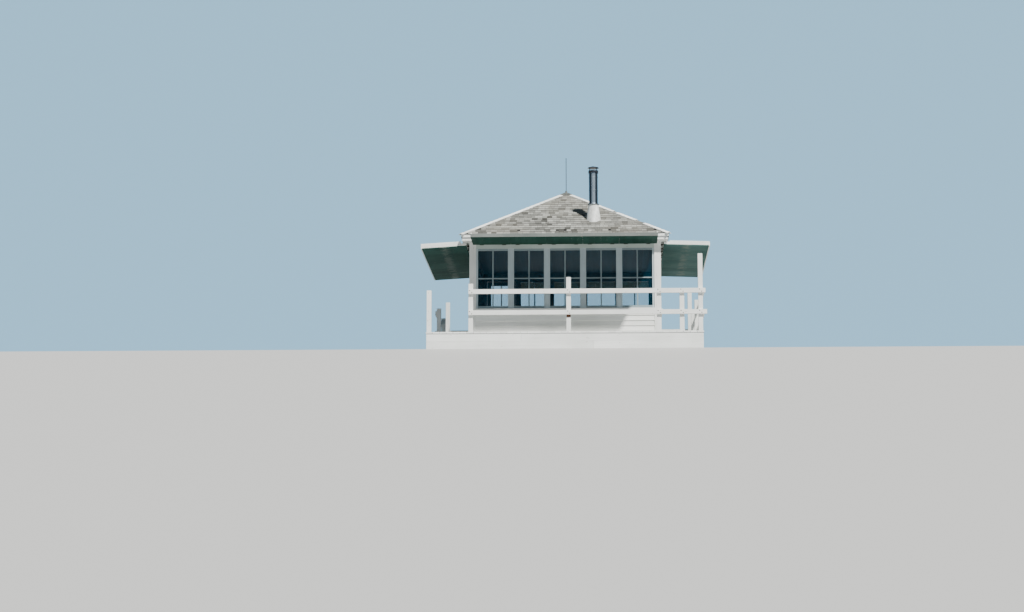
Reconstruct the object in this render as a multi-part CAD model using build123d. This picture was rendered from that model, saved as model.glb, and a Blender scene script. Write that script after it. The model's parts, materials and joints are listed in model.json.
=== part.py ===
from build123d import *
from math import cos, radians, tan
import os

# A one-room fire lookout house on a low base, with a walkway all round it.
# Millimetres. The ground is z = 0, the middle of the house is x = y = 0, and the front faces -Y.
# Every side is drawn as the front and then turned into its place.

# Turn of each side about the middle of the house, in degrees
side_turn = {"front": 0.0, "right": 90.0, "rear": 180.0, "left": 270.0}

# Play between pieces that meet
seat_gap = 0.3
corner_gap = 2.0

# Base and walkway
deck_top = 380.0
deck_board_thickness = 38.0
walkway_width = 896.5
skirt_thickness = 25.0
skirt_setback = 10.0
ground_beam_width = 120.0
joist_width = 45.0
joist_depth = 140.0
joist_count = 13

# Cab walls and windows
cab_width = 4267.0
wall_thickness = 110.0
floor_step = 20.0
bays_per_side = 5
corner_post_width = 148.5
window_post_width = 50.0
sill_height = 630.0
sill_thickness = 45.0
sill_nose = 35.0
window_height = 1360.0
header_depth = 156.0
sash_thickness = 45.0
sash_setback = 20.0
sash_stile = 43.0
sash_bottom_rail = 62.0
sash_top_rail = 46.0
glass_thickness = 5.0

# Door, in the rear bay nearest the left side
door_bay = 4
door_jamb = 30.0
door_play = 4.0
door_thickness = 42.0
door_stile = 95.0
door_light_height = 720.0
threshold_height = 14.0
knob_height = 960.0
knob_radius = 27.0
knob_stem_radius = 11.0
knob_reach = 60.0
rose_radius = 32.0
rose_thickness = 6.0

# Ceiling, eaves and roof
ceiling_thickness = 20.0
wall_plate_width = 90.0
eave_overhang = 176.5
fascia_setback = 20.0
fascia_thickness = 25.0
fascia_depth = 86.0
soffit_thickness = 14.0
roof_pitch = 31.3
roof_thickness = 60.0
hip_cap_width = 120.0
hip_cap_thickness = 15.0
roof_cap_width = 280.0
roof_cap_thickness = 30.0
finial_radius = 24.0
finial_height = 22.0
rod_radius = 8.0
rod_length = 787.0

# Flue
flue_from_right_wall = 1493.5
flue_from_front_wall = 603.5
flue_radius = 100.0
flue_wall = 3.0
flue_above_roof = 1115.0
flue_roof_play = 3.0
flashing_above_roof = 353.0
flashing_below_roof = 315.0
flashing_flare = 0.151
flashing_thickness = 6.0
flue_band_height = 55.0
flue_band_thickness = 14.0
cowl_radius = 126.0
cowl_gap = 60.0
cowl_rim = 12.0
cowl_rise = 38.0
cowl_leg_width = 22.0
cowl_leg_thickness = 6.0

# Railing
rail_line_offset = 830.0
post_section = 98.0
rail_thickness = 38.0
rail_depth = 100.0
top_rail_height = 936.0
mid_rail_height = 468.0
post_above_rail = 64.0
way_in_pitch = 913.5
way_in_post_above_rail = 129.0
front_middle_post_place = 90.0
front_middle_post_above_rail = 264.0
front_end_post_pitches = (903.5, 403.5)
front_rail_overhang = {"top": 20.0, "mid": 50.0}
right_post_count = 2
rear_post_count = 3
left_post_count = 2
corner_post_heights = {"front": 1707.0, "right": 1890.0, "rear": 1620.0, "left": 924.0}

# Shutters, hinged above the windows and held out level
shutter_thickness = 75.0
shutter_reach = 1050.0
shutter_gap = 14.0
shutter_inner_edge = 25.0
shutter_edge_thickness = 22.0
shutter_board_thickness = 22.0
shutter_ledge_width = 60.0
shutter_wall_gap = 12.5
shutter_soffit_gap = 6.5
shutter_droop = {"front": 1.2, "right": 1.8, "rear": 5.0, "left": 3.4}
shutter_row_overlap = 47.0
hinge_spread = 500.0
hinge_width = 90.0
hinge_plate_height = 70.0
hinge_plate_thickness = 5.0
hinge_lug_thickness = 8.0
hinge_lug_radius = 12.0
hinge_pin_radius = 6.0
hinge_eye_radius = 13.0
hinge_eye_play = 4.0
hinge_strap_thickness = 16.0

# Sizes that follow from those above
cab_half = cab_width / 2
deck_half = cab_half + walkway_width
skirt_face = deck_half - skirt_setback
deck_underside = deck_top - deck_board_thickness
floor_top = deck_top + floor_step
beam_top = deck_underside - joist_depth
inside_corner = cab_half - corner_post_width
bay_width = (2 * inside_corner + window_post_width) / bays_per_side
opening_width = bay_width - window_post_width
sill_top = floor_top + sill_height
window_head = sill_top + window_height
header_top = window_head + header_depth
ceiling_top = header_top + ceiling_thickness
roof_half = cab_half + eave_overhang
roof_slope = tan(radians(roof_pitch))
roof_drop = roof_thickness / cos(radians(roof_pitch))
fascia_face = roof_half - fascia_setback
eave_top = header_top + fascia_depth + roof_drop - roof_slope * fascia_setback
roof_apex = eave_top + roof_slope * roof_half
rod_foot = roof_apex + roof_cap_thickness + finial_height
flue_x = cab_half - flue_from_right_wall
flue_y = -cab_half + flue_from_front_wall
flue_roof_height = eave_top + roof_slope * (roof_half + flue_y)
flue_top = flue_roof_height + flue_above_roof
rail_line = cab_half + rail_line_offset
post_face = rail_line + post_section / 2
rail_face = post_face + rail_thickness
way_in_post_place = -rail_line + way_in_pitch
even_post_height = top_rail_height + post_above_rail
hinge_out = cab_half + shutter_wall_gap + shutter_thickness / 2
hinge_height = header_top - shutter_soffit_gap - shutter_thickness / 2
panel_width = bay_width - shutter_gap
far = 2 * deck_half
tall = 2 * (rod_foot + rod_length)


def block(x_low, x_high, y_low, y_high, z_low, z_high):
    """A box between two corners."""
    box = Box(x_high - x_low, y_high - y_low, z_high - z_low)
    return Pos((x_low + x_high) / 2, (y_low + y_high) / 2, (z_low + z_high) / 2) * box


def turned(shape, side):
    """A front piece, turned to another side."""
    return Rot(0, 0, side_turn[side]) * shape


def bay_centres(side):
    """The middle of each window bay, along the wall, without the door's bay."""
    first = -(bays_per_side - 1) * bay_width / 2
    centres = [first + bay * bay_width for bay in range(bays_per_side)]
    if side == "rear":
        centres.pop(door_bay)
    return centres


def door_centre():
    """The middle of the door, along the rear wall."""
    return (door_bay - (bays_per_side - 1) / 2) * bay_width


def front_quarter(gap=0.0):
    """The quarter of the plan that belongs to the front, inside both diagonals."""
    triangle = Polygon((0, -gap), (-far, -gap - far), (far, -gap - far), align=None)
    return extrude(triangle, amount=tall, both=True)


def mitred(outline, gap=0.0):
    """A bar along the front with this outline across it, mitred at both corners."""
    bar = extrude(Plane.YZ * Polygon(*outline, align=None), amount=far, both=True)
    return bar & front_quarter(gap)


def mitred_board(out_low, out_high, z_low, z_high, gap):
    """A mitred bar that is square across, between two distances from the middle."""
    outline = [(-out_low, z_low), (-out_low, z_high), (-out_high, z_high), (-out_high, z_low)]
    return mitred(outline, gap)


def on_four_sides(piece):
    """One piece on each side of the house."""
    return [turned(piece, side) for side in side_turn]


def save(name, solids):
    """Write one named piece."""
    pieces = solids if isinstance(solids, list) else [solids]
    loose = [solid for piece in pieces for solid in piece.solids()]
    export_step(Compound(loose), f"parts/{name}.step")


def ground_beams():
    """Sleepers on the ground, from front to rear, under the joists."""
    reach = skirt_face - skirt_thickness - corner_gap
    edge = reach - ground_beam_width / 2
    under_wall = cab_half - wall_thickness / 2
    half = ground_beam_width / 2
    places = (-edge, -under_wall, 0.0, under_wall, edge)
    return [block(x - half, x + half, -reach, reach, 0, beam_top) for x in places]


def joists():
    """Joists across the beams, under the walkway and the floor."""
    reach = skirt_face - skirt_thickness - corner_gap
    pitch = (2 * reach - joist_width) / (joist_count - 1)
    lows = [-reach + count * pitch for count in range(joist_count)]
    return [block(-reach, reach, y, y + joist_width, beam_top, deck_underside) for y in lows]


def skirt():
    """Boards that close the base from the walkway down to the ground."""
    board = mitred_board(skirt_face - skirt_thickness, skirt_face, 0, deck_underside, corner_gap)
    return on_four_sides(board)


def walkway_deck():
    """The walkway's floor, mitred at the corners."""
    inner = cab_half + corner_gap
    return on_four_sides(mitred_board(inner, deck_half, deck_underside, deck_top, corner_gap))


def cab_floor():
    """The floor slab that the walls stand on."""
    return block(-cab_half, cab_half, -cab_half, cab_half, deck_underside, floor_top)


def corner_posts():
    """Square posts at the corners of the cab."""
    post = block(-cab_half, -inside_corner, -cab_half, -inside_corner, floor_top, header_top)
    return on_four_sides(post)


def along_wall(side):
    """Where the boarded wall of a side starts and ends."""
    low = -inside_corner
    high = inside_corner
    if side == "rear":
        high = door_centre() - opening_width / 2 - window_post_width
    return low, high


def low_wall(side):
    """The wall below the windows."""
    low, high = along_wall(side)
    top = sill_top - sill_thickness
    return turned(block(low, high, -cab_half, -cab_half + wall_thickness, floor_top, top), side)


def window_sill(side):
    """The sill board, with a nose that stands out over the wall."""
    low, high = along_wall(side)
    front = -cab_half - sill_nose
    back = -cab_half + wall_thickness
    return turned(block(low, high, front, back, sill_top - sill_thickness, sill_top), side)


def header(side):
    """The beam over the windows."""
    back = -cab_half + wall_thickness
    return turned(block(-inside_corner, inside_corner, -cab_half, back, window_head, header_top), side)


def window_posts(side):
    """The posts between the windows. The one beside the door stands on the floor."""
    half = window_post_width / 2
    back = -cab_half + wall_thickness
    posts = []
    for gap in range(1, bays_per_side):
        x = (gap - bays_per_side / 2) * bay_width
        beside_door = side == "rear" and gap == door_bay
        foot = floor_top if beside_door else sill_top
        posts.append(turned(block(x - half, x + half, -cab_half, back, foot, window_head), side))
    return posts


def sash_opening(x):
    """The space of the glass in one sash, as low and high x and z."""
    half = opening_width / 2 - seat_gap - sash_stile
    low = sill_top + seat_gap + sash_bottom_rail
    high = window_head - seat_gap - sash_top_rail
    return x - half, x + half, low, high


def sash_stiles(side):
    """The two upright pieces of each sash."""
    stiles = []
    front = -cab_half + sash_setback
    half = opening_width / 2 - seat_gap
    for x in bay_centres(side):
        for low in (x - half, x + half - sash_stile):
            stile = block(low, low + sash_stile, front, front + sash_thickness,
                          sill_top + seat_gap, window_head - seat_gap)
            stiles.append(turned(stile, side))
    return stiles


def sash_rails(side):
    """The two level pieces of each sash, between its stiles."""
    level_pieces = []
    front = -cab_half + sash_setback
    back = front + sash_thickness
    for x in bay_centres(side):
        low_x, high_x, low_z, high_z = sash_opening(x)
        level_pieces.append(turned(block(low_x, high_x, front, back, sill_top + seat_gap, low_z), side))
        level_pieces.append(turned(block(low_x, high_x, front, back, high_z, window_head - seat_gap), side))
    return level_pieces


def panes(side):
    """One pane in each sash, and one in the door."""
    middle = -cab_half + sash_setback + sash_thickness / 2
    front = middle - glass_thickness / 2
    back = middle + glass_thickness / 2
    sheets = []
    for x in bay_centres(side):
        low_x, high_x, low_z, high_z = sash_opening(x)
        sheets.append(turned(block(low_x, high_x, front, back, low_z, high_z), side))
    if side == "rear":
        low_x, high_x, low_z, high_z = door_light()
        sheets.append(turned(block(low_x, high_x, front, back, low_z, high_z), side))
    return sheets


def door_frame():
    """Jambs and head around the door, with a threshold on the floor."""
    x = door_centre()
    half = opening_width / 2
    back = -cab_half + wall_thickness
    whole = block(x - half, x + half, -cab_half, back, floor_top, window_head)
    inner = half - door_jamb
    foot = floor_top + threshold_height
    way = block(x - inner, x + inner, -cab_half, back, foot, window_head - door_jamb)
    return turned(whole - way, "rear")


def door_edges():
    """The outside of the door leaf, as low and high x and z."""
    x = door_centre()
    half = opening_width / 2 - door_jamb - door_play
    low = floor_top + threshold_height + seat_gap
    return x - half, x + half, low, window_head - door_jamb - door_play


def door_light():
    """The glazed opening of the door, as low and high x and z."""
    low_x, high_x, low_z, high_z = door_edges()
    return low_x + door_stile, high_x - door_stile, floor_top + door_light_height, high_z - door_stile


def door_leaf():
    """The door, closed in its frame."""
    low_x, high_x, low_z, high_z = door_edges()
    front = -cab_half + sash_setback
    back = front + door_thickness
    leaf = block(low_x, high_x, front, back, low_z, high_z)
    light_low_x, light_high_x, light_low_z, light_high_z = door_light()
    light = block(light_low_x, light_high_x, front, back, light_low_z, light_high_z)
    return turned(leaf - light, "rear")


def door_knob():
    """A round knob and its rose, on the outside of the door."""
    low_x, high_x, low_z, high_z = door_edges()
    x = low_x + door_stile / 2
    z = floor_top + knob_height
    face = -cab_half + sash_setback
    rose = Pos(x, face - rose_thickness / 2, z) * Rot(90, 0, 0) * Cylinder(rose_radius, rose_thickness)
    stem = Pos(x, face - knob_reach / 2, z) * Rot(90, 0, 0) * Cylinder(knob_stem_radius, knob_reach)
    knob = Pos(x, face - knob_reach, z) * Sphere(knob_radius)
    return turned(rose + stem + knob, "rear")


def ceiling():
    """Boards over the room, from wall to wall."""
    return block(-cab_half, cab_half, -cab_half, cab_half, header_top, ceiling_top)


def roof_height(out, rise=0.0):
    """Height of the roof's top face at a distance from the middle, or so far above it."""
    return eave_top + roof_slope * (roof_half - out) + rise


def wall_plates():
    """Plates over the walls that carry the roof."""
    outer = cab_half
    inner = cab_half - wall_plate_width
    outline = [
        (-outer, ceiling_top),
        (-outer, roof_height(outer, -roof_drop)),
        (-inner, roof_height(inner, -roof_drop)),
        (-inner, ceiling_top),
    ]
    return on_four_sides(mitred(outline, corner_gap))


def fascia():
    """Boards under the roof's edge."""
    inner = fascia_face - fascia_thickness
    outline = [
        (-fascia_face, header_top),
        (-fascia_face, roof_height(fascia_face, -roof_drop)),
        (-inner, roof_height(inner, -roof_drop)),
        (-inner, header_top),
    ]
    return on_four_sides(mitred(outline, corner_gap))


def soffit():
    """Boards under the eaves, between the wall and the fascia."""
    inner = fascia_face - fascia_thickness
    board = mitred_board(cab_half, inner, header_top, header_top + soffit_thickness, corner_gap)
    return on_four_sides(board)


def roof_layer(low, high):
    """The front slope between two heights above the roof's top face."""
    outline = [
        (-roof_half, roof_height(roof_half, low)),
        (-roof_half, roof_height(roof_half, high)),
        (0, roof_height(0, high)),
        (0, roof_height(0, low)),
    ]
    return mitred(outline)


def roof_side(side):
    """One slope of the hipped roof. The front one has a hole for the flue."""
    slope = roof_layer(-roof_drop, 0)
    if side == "front":
        slope -= Pos(flue_x, flue_y, 0) * Cylinder(flue_radius + flue_roof_play, tall)
    return turned(slope, side)


def hip_caps():
    """Folded boards over the four hips."""
    front = roof_layer(0, hip_cap_thickness)
    both = front + turned(front, "right")
    strip = Rot(0, 0, -45) * block(0, far, -hip_cap_width / 2, hip_cap_width / 2, 0, tall)
    clear = roof_cap_width / 2 + seat_gap
    cap = (both & strip) - block(-clear, clear, -clear, clear, 0, tall)
    return on_four_sides(cap)


def roof_cap():
    """The small metal cap over the top of the roof, with a seat for the rod."""
    half = roof_cap_width / 2
    layer = roof_layer(0, roof_cap_thickness)
    cap = layer
    for side in ("right", "rear", "left"):
        cap = cap + turned(layer, side)
    cap = cap & block(-half, half, -half, half, 0, tall)
    finial_length = rod_foot - roof_apex
    finial = Pos(0, 0, roof_apex + finial_length / 2) * Cylinder(finial_radius, finial_length)
    return cap + finial


def roof_rod():
    """The thin rod on the very top."""
    return Pos(0, 0, rod_foot + rod_length / 2) * Cylinder(rod_radius, rod_length)


def flue_pipe():
    """The flue, from the ceiling up through the front slope."""
    length = flue_top - ceiling_top
    place = Pos(flue_x, flue_y, ceiling_top + length / 2)
    return place * (Cylinder(flue_radius, length) - Cylinder(flue_radius - flue_wall, length))


def flue_flashing():
    """The flared collar that sheds rain where the flue leaves the roof."""
    height = flashing_above_roof + flashing_below_roof
    middle = flue_roof_height + (flashing_above_roof - flashing_below_roof) / 2
    spread = height * flashing_flare
    inner_top = flue_radius + seat_gap
    outer_top = inner_top + flashing_thickness
    place = Pos(flue_x, flue_y, middle)
    cone = Cone(outer_top + spread, outer_top, height) - Cone(inner_top + spread, inner_top, height)
    outline = [(-roof_half, 0), (-roof_half, eave_top), (0, roof_apex), (0, 0)]
    under_roof = extrude(Plane.YZ * Polygon(*outline, align=None), amount=far, both=True)
    return place * cone - under_roof


def flue_cowl():
    """The rain cap on the flue, with its band and legs."""
    band_low = flue_top - flue_band_height
    band_radius = flue_radius + seat_gap
    band_outer = band_radius + flue_band_thickness
    band = Cylinder(band_outer, flue_band_height) - Cylinder(band_radius, flue_band_height)
    cowl = Pos(flue_x, flue_y, band_low + flue_band_height / 2) * band
    rim_low = flue_top + cowl_gap
    cowl += Pos(flue_x, flue_y, rim_low + cowl_rim / 2) * Cylinder(cowl_radius, cowl_rim)
    peak_low = rim_low + cowl_rim
    cowl += Pos(flue_x, flue_y, peak_low + cowl_rise / 2) * Cone(cowl_radius, flue_wall, cowl_rise)
    leg_in = band_outer - cowl_leg_thickness / 2
    leg_out = leg_in + cowl_leg_thickness
    half = cowl_leg_width / 2
    leg = block(leg_in, leg_out, -half, half, flue_top - flue_band_height / 2, rim_low)
    for turn in range(4):
        cowl += Pos(flue_x, flue_y, 0) * Rot(0, 0, 45 + 90 * turn) * leg
    return cowl


def post(x, y, height):
    """One square post on the walkway."""
    half = post_section / 2
    return block(x - half, x + half, y - half, y + half, deck_top, deck_top + height)


def rail(low, high, height):
    """One rail on the outer faces of the posts."""
    top = deck_top + height
    return block(low, high, -rail_face, -post_face, top - rail_depth, top)


def even_places(count):
    """Places for so many posts, evenly spaced between the corner posts."""
    pitch = 2 * rail_line / (count + 1)
    return [(step + 1) * pitch - rail_line for step in range(count)]


def railing_posts():
    """Every post of the railing, with the four corner posts each of its own height."""
    posts = [post(way_in_post_place, -rail_line, top_rail_height + way_in_post_above_rail)]
    posts.append(post(front_middle_post_place, -rail_line, top_rail_height + front_middle_post_above_rail))
    for pitch in front_end_post_pitches:
        posts.append(post(rail_line - pitch, -rail_line, top_rail_height))
    for x in even_places(right_post_count):
        posts.append(turned(post(x, -rail_line, even_post_height), "right"))
    for x in even_places(rear_post_count):
        posts.append(turned(post(x, -rail_line, even_post_height), "rear"))
    for x in even_places(rear_post_count)[:left_post_count]:
        posts.append(turned(post(x, -rail_line, even_post_height), "left"))
    for side, height in corner_post_heights.items():
        posts.append(turned(post(rail_line, -rail_line, height), side))
    return posts


def rails(height, front_overhang):
    """The rails at one height. The front ones run past the corner post, and the left ones stop half way."""
    half_post = post_section / 2
    side_end = post_face - seat_gap
    left_end = even_places(rear_post_count)[left_post_count - 1] + half_post
    front = rail(way_in_post_place - half_post, rail_face + front_overhang, height)
    right = turned(rail(-side_end, side_end, height), "right")
    rear = turned(rail(-rail_face, rail_face, height), "rear")
    left = turned(rail(-side_end, left_end, height), "left")
    return [front, right, rear, left]


def hinge_places(side):
    """The middle of each hinge along the wall, two for each shutter."""
    half = hinge_spread / 2
    return [x + offset for x in bay_centres(side) for offset in (-half, half)]


def shutter_hinges(side):
    """The fixed half of each hinge: a plate on the header, two lugs and a pin."""
    hinges = []
    half = hinge_width / 2
    wall_side = -cab_half
    pin_y = -hinge_out
    plate_low = hinge_height - hinge_plate_height / 2
    plate_high = hinge_height + hinge_plate_height / 2
    arm_low = hinge_height - hinge_lug_radius
    arm_high = hinge_height + hinge_lug_radius
    for x in hinge_places(side):
        plate = block(x - half, x + half, wall_side - hinge_plate_thickness, wall_side, plate_low, plate_high)
        for low in (x - half, x + half - hinge_lug_thickness):
            high = low + hinge_lug_thickness
            arm = block(low, high, pin_y, wall_side, arm_low, arm_high)
            nose = Pos((low + high) / 2, pin_y, hinge_height) * Rot(0, 90, 0)
            plate += arm + nose * Cylinder(hinge_lug_radius, hinge_lug_thickness)
        plate += Pos(x, pin_y, hinge_height) * Rot(0, 90, 0) * Cylinder(hinge_pin_radius, hinge_width)
        hinges.append(turned(plate, side))
    return hinges


def shutter_edges(side):
    """Both edges of each shutter along the wall. The row's end ones reach further, over the cab's corners."""
    half = panel_width / 2
    edges = [[x - half, x + half] for x in bay_centres(side)]
    edges[0][0] -= shutter_row_overlap
    if side != "rear":
        edges[-1][1] += shutter_row_overlap
    return edges


def shutter_panel(start, end):
    """One shutter, level, with its hinge line on the X axis: boards below and ledges above."""
    outer = shutter_reach - shutter_edge_thickness
    low = -shutter_thickness / 2
    high = shutter_thickness / 2
    panel = block(start, end, -outer, -shutter_inner_edge, low, high)
    middle = -(outer + shutter_inner_edge) / 2
    pocket_low = low + shutter_board_thickness
    left = start + shutter_ledge_width
    right = end - shutter_ledge_width
    half_ledge = shutter_ledge_width / 2
    pocket_start = -outer + shutter_ledge_width
    pocket_end = -shutter_inner_edge - shutter_ledge_width
    panel -= block(left, right, pocket_start, middle - half_ledge, pocket_low, high)
    panel -= block(left, right, middle + half_ledge, pocket_end, pocket_low, high)
    return panel


def shutter_row(side):
    """The shutters of one side, joined by the board along their outer edge."""
    panels = shutter_edges(side)
    half_thickness = shutter_thickness / 2
    edge = -shutter_reach + shutter_edge_thickness
    row = block(panels[0][0], panels[-1][1], -shutter_reach, edge, -half_thickness, half_thickness)
    for start, end in panels:
        row += shutter_panel(start, end)
    eye_half = hinge_width / 2 - hinge_lug_thickness - hinge_eye_play
    for x in hinge_places(side):
        strap = block(x - eye_half, x + eye_half, -shutter_inner_edge, 0,
                      -hinge_strap_thickness / 2, hinge_strap_thickness / 2)
        eye = Pos(x, 0, 0) * Rot(0, 90, 0) * Cylinder(hinge_eye_radius, 2 * eye_half)
        row += strap + eye
    row -= Rot(0, 90, 0) * Cylinder(hinge_pin_radius + seat_gap, far)
    placed = Pos(0, -hinge_out, hinge_height) * Rot(shutter_droop[side], 0, 0) * row
    return turned(placed, side)


os.makedirs("parts", exist_ok=True)

save("ground_beams", ground_beams())
save("joists", joists())
save("skirt", skirt())
save("walkway_deck", walkway_deck())
save("cab_floor", cab_floor())
save("corner_posts", corner_posts())
save("ceiling", ceiling())
save("wall_plates", wall_plates())
save("fascia", fascia())
save("soffit", soffit())
save("hip_caps", hip_caps())
save("roof_cap", roof_cap())
save("roof_rod", roof_rod())
save("flue_pipe", flue_pipe())
save("flue_flashing", flue_flashing())
save("flue_cowl", flue_cowl())
save("door_frame", door_frame())
save("door", door_leaf())
save("door_knob", door_knob())
save("railing_posts", railing_posts())
save("top_rails", rails(top_rail_height, front_rail_overhang["top"]))
save("mid_rails", rails(mid_rail_height, front_rail_overhang["mid"]))
save("window_sills", [window_sill(side) for side in side_turn])
save("headers", [header(side) for side in side_turn])
save("window_posts", [piece for side in side_turn for piece in window_posts(side)])
save("window_stiles", [piece for side in side_turn for piece in sash_stiles(side)])
save("window_rails", [piece for side in side_turn for piece in sash_rails(side)])
save("window_glass", [sheet for side in side_turn for sheet in panes(side)])
save("shutter_hinges", [hinge for side in side_turn for hinge in shutter_hinges(side)])
for side in side_turn:
    save(f"{side}_wall", low_wall(side))
    save(f"{side}_roof", roof_side(side))
    save(f"{side}_shutters", shutter_row(side))
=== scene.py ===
# %% [markdown]
# A fire lookout house has windows on every side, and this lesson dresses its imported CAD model. The CAD
# solids are the frame: they give the sizes and the places, and nothing in them is moved. The script adds
# what a carpenter would add at the end, which is boards, shingles, window bars, ironwork and paint, and each
# new piece rides on the CAD body that carries it.

# %% load the frame
import bmesh
import bpy
import json
import math
import random
from mathutils import Matrix, Vector


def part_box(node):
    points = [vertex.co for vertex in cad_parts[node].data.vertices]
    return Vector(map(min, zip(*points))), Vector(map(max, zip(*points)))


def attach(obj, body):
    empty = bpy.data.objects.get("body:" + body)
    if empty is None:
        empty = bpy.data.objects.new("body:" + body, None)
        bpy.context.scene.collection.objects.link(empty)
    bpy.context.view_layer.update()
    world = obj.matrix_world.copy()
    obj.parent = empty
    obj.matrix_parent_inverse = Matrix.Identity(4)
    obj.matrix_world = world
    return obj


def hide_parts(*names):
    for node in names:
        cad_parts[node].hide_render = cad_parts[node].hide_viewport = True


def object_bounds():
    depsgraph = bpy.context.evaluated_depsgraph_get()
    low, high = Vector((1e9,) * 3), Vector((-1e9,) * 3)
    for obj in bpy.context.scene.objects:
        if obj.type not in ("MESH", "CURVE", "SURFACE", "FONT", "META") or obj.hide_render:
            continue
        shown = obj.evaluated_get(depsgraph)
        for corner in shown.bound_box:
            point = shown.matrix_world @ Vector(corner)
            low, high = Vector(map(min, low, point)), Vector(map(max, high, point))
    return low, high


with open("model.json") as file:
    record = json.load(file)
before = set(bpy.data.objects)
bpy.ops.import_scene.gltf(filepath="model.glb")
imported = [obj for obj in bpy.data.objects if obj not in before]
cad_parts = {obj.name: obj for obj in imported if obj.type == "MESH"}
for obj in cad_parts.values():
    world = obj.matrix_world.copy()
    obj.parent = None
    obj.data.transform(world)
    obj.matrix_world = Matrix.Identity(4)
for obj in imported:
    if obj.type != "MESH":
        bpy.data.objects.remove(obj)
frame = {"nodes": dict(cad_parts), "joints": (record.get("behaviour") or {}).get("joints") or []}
cad_low, cad_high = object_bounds()
nodes = frame["nodes"]
joints = {joint["child"]: joint for joint in frame["joints"]}
draw = random.Random(1930)

# %% [markdown]
# Most sizes can be read from the CAD boxes, so a changed model brings its looks along. Only what no box
# can tell, such as the width of a sash's stile, is written down again, in metres.

# %% sizes read from the frame
side_turn = {"front": 0.0, "right": 90.0, "rear": 180.0, "left": 270.0}
wall_axis = {"front": "X", "right": "Y", "rear": "X", "left": "Y"}
out_axis = {"front": "Y", "right": "X", "rear": "Y", "left": "X"}
cab_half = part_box("cab_floor")[1].x
floor_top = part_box("cab_floor")[1].z
deck_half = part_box("walkway_deck")[1].x
deck_heights = [corner.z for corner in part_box("walkway_deck")]
skirt_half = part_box("skirt")[1].x
inside_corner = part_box("front_wall")[1].x
glass_low, glass_high = [corner.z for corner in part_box("window_glass")]
roof_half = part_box("front_roof")[1].x
roof_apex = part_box("front_roof")[1].z
flue_low, flue_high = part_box("flue_pipe")
flue_x, flue_y = (flue_low.x + flue_high.x) / 2, (flue_low.y + flue_high.y) / 2
flue_radius = (flue_high.x - flue_low.x) / 2
print("cab half width", round(cab_half, 4), "roof", round(roof_half, 4), "apex", round(roof_apex, 4))

# %% sizes that no box tells
roof_pitch = math.radians(31.3)
eave_top = roof_apex - roof_half * math.tan(roof_pitch)
bays_per_side = 5
door_bay = 4
window_post_width = 0.050
seat_gap = 0.0003
joint_play = 0.0002
sash_stile = 0.043
sash_setback = 0.020
sash_thickness = 0.045
# The painted shade indoors begins a little outside the inner faces of the sashes.
indoor_shade_lap = 0.004
timber_edge = 0.003
metal_edge = 0.001
bay_width = (2 * inside_corner + window_post_width) / bays_per_side
glass_half = (bay_width - window_post_width) / 2 - seat_gap - sash_stile
room_half = cab_half - sash_setback - sash_thickness + indoor_shade_lap
bay_centres = [(bay - (bays_per_side - 1) / 2) * bay_width for bay in range(bays_per_side)]
window_centres = {side: list(bay_centres) for side in side_turn}
del window_centres["rear"][door_bay]
print("bay width", round(bay_width, 4), "glass", round(2 * glass_half, 4), "eave", round(eave_top, 4))

# %% [markdown]
# Every board here starts as one cube from a bmesh operator, stretched between two corners. Each board
# also carries a number called tone, which the paint reads, so that no two boards have quite one colour.

# %% helpers for one board
def new_mesh():
    """An empty bmesh whose vertices carry a tone."""
    bm = bmesh.new()
    bm.verts.layers.float.new("tone")
    return bm


def add_board(bm, low, high, tone=0.0):
    """One board between two corners."""
    low, high = Vector(low), Vector(high)
    place = Matrix.Translation((low + high) / 2) @ Matrix.Diagonal((*(high - low), 1.0))
    board = bmesh.ops.create_cube(bm, size=1.0, matrix=place)["verts"]
    layer = bm.verts.layers.float["tone"]
    for vert in board:
        vert[layer] = tone
    return board


def add_toned_board(bm, low, high):
    """One board with a tone of its own."""
    return add_board(bm, low, high, draw.uniform(-1, 1))


def soften(bm, width=timber_edge):
    """Takes the sharpness off every edge, as a plane and a coat of paint do."""
    bmesh.ops.bevel(bm, geom=bm.edges[:], offset=width, offset_type="OFFSET", segments=1,
                    profile=0.5, affect="EDGES", clamp_overlap=True, material=-1)


# %% [markdown]
# Four sides are alike, so a side is built as the front and turned into its place at the end. A finished
# mesh becomes an object that rides on its body and hides the CAD nodes that it stands for.

# %% helpers for sides and pieces
def turn_to(bm, side):
    """Turns a mesh that was built as the front to its own side."""
    turn = Matrix.Rotation(math.radians(side_turn[side]), 3, "Z")
    bmesh.ops.rotate(bm, cent=(0, 0, 0), matrix=turn, verts=bm.verts)


def front_box(node, side):
    """The box of a side's node, seen as if that side were the front."""
    back = Matrix.Rotation(-math.radians(side_turn[side]), 3, "Z")
    corners = [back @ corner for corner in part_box(node)]
    return Vector(map(min, *corners)), Vector(map(max, *corners))


def all_round(build):
    """One mesh of what a function builds for each side, turned to that side."""
    bm = new_mesh()
    for side in side_turn:
        part = new_mesh()
        build(part, side)
        turn_to(part, side)
        mesh = bpy.data.meshes.new("part")
        part.to_mesh(mesh)
        part.free()
        bm.from_mesh(mesh)
        bpy.data.meshes.remove(mesh)
    return bm


def place_mesh(name, bm, materials):
    """Makes the mesh an object of the scene, at the origin."""
    mesh = bpy.data.meshes.new(name)
    bm.to_mesh(mesh)
    bm.free()
    piece = bpy.data.objects.new(name, mesh)
    bpy.context.scene.collection.objects.link(piece)
    for material in materials:
        mesh.materials.append(material)
    print(name, len(mesh.polygons), "faces")
    return piece


def finish_piece(name, bm, materials, replaced=(), body="house"):
    """Makes the mesh a piece of the house, on the body that carries it."""
    piece = place_mesh(name, bm, materials)
    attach(piece, body)
    if replaced:
        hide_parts(*replaced)


# %% [markdown]
# Paint in wind and sun is never one flat colour. Each finish is a stack of patterns: broad patches where
# it has bleached, streaks along the grain, chips down to grey wood, and a small bump for the grain itself.
# The patterns read Object coordinates in metres, so their scale is the real one.

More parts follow.
